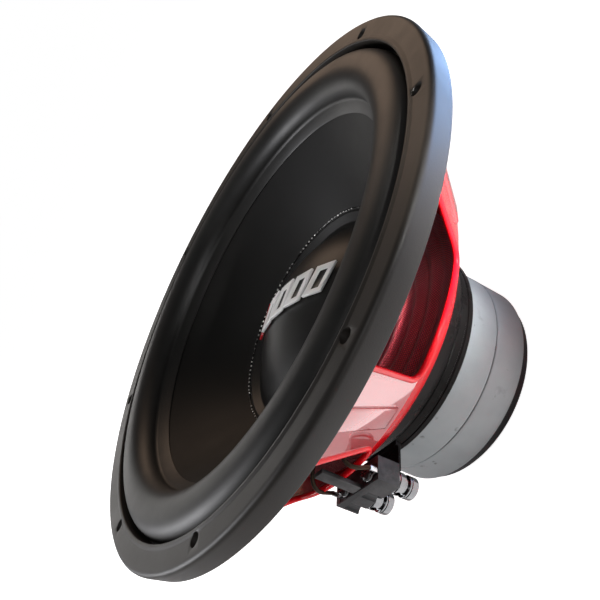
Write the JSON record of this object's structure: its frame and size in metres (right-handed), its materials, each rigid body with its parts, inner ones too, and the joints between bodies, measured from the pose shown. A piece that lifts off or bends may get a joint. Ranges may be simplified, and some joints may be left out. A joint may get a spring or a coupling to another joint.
{
  "type": "car subwoofer speaker",
  "caption": "Round car subwoofer driver with a pressed red basket, rubber half-roll surround, domed dust cap, stacked ferrite magnet and sprung wire posts.",
  "frame": {"origin": "middle of the back plate's underside, on the speaker's axis", "axes": "+Z along the axis from the magnet to the cone's open side; +X towards one mounting hole"},
  "size_m": [0.314, 0.314, 0.1581],
  "materials": {
    "trim_rubber": "matte black moulded rubber",
    "basket_paint": "high gloss red powder coat",
    "surround_rubber": "matte black rubber with a soft sheen",
    "cone_black": "smooth matte black coated pulp",
    "cap_black": "satin black moulded dome",
    "bead_glue": "dark glue line with small glints",
    "badge_silver": "bright satin silver",
    "badge_red": "gloss red",
    "spider_cloth": "red woven cotton, resin dipped",
    "plate_black": "gloss black paint",
    "ferrite": "bare grey sintered ferrite, ground faces",
    "yoke_black": "satin black plated steel",
    "terminal_plastic": "dark grey moulded plastic",
    "chrome": "mirror chrome",
    "black_screw": "black zinc",
    "zinc": "zinc plated steel",
    "copper": "enamelled copper",
    "kapton": "amber film",
    "braid": "tinned copper braid",
    "strip_black": "flat insulating strip",
    "aluminium_ring": "turned aluminium",
    "glue_black": "cured black glue"
  },
  "bodies": {
    "basket_body": {"trim_ring": "trim_rubber", "basket": "basket_paint", "surround": "surround_rubber", "spider": "spider_cloth", "top_plate": "plate_black", "front_magnet": "ferrite", "rear_magnet": "ferrite", "yoke": "yoke_black", "vent_screen": "black_screw", "shorting_ring": "aluminium_ring", "plate_screw_1": "zinc", "plate_screw_2": "zinc", "plate_screw_3": "zinc", "plate_screw_4": "zinc", "plate_screw_5": "zinc", "plate_screw_6": "zinc", "terminal_block": "terminal_plastic", "terminal_bracket": "basket_paint", "bracket_screw": "zinc", "lead_strip": "strip_black", "post_a": "chrome", "post_b": "chrome", "push_spring_a": "zinc", "push_spring_b": "zinc", "lug_a": "braid", "lug_b": "braid", "lug_screw_a": "black_screw", "lug_screw_b": "black_screw", "tinsel_lead_a": "braid", "tinsel_lead_b": "braid"},
    "cone_body": {"cone": "cone_black", "dust_cap": "cap_black", "cap_bead": "bead_glue", "badge_accent": "badge_red", "badge_bar_1": "badge_silver", "badge_bar_2": "badge_silver", "badge_bar_3": "badge_silver", "badge_bar_4": "badge_silver", "former": "kapton", "voice_coil": "copper", "neck_joint": "glue_black", "lead_eyelet_a": "braid", "lead_eyelet_b": "braid"},
    "cap_a_body": {"push_cap_a": "chrome"},
    "cap_b_body": {"push_cap_b": "chrome"}
  },
  "joints": [
    {"name": "cone_travel", "type": "slide", "parent": "basket_body", "child": "cone_body", "axis": [0, 0, 1], "range_m": [-0.012, 0.012], "stiffness_N_per_m": 5000, "deforming": ["surround", "spider", "tinsel_lead_a", "tinsel_lead_b"]},
    {"name": "cap_a_press", "type": "slide", "parent": "basket_body", "child": "cap_a_body", "axis": [0, 0, 1], "range_m": [0, 0.002], "stiffness_N_per_m": 800, "springref_m": -0.004, "deforming": ["push_spring_a"]},
    {"name": "cap_b_press", "type": "slide", "parent": "basket_body", "child": "cap_b_body", "axis": [0, 0, 1], "range_m": [0, 0.002], "stiffness_N_per_m": 800, "springref_m": -0.004, "deforming": ["push_spring_b"]}
  ]
}
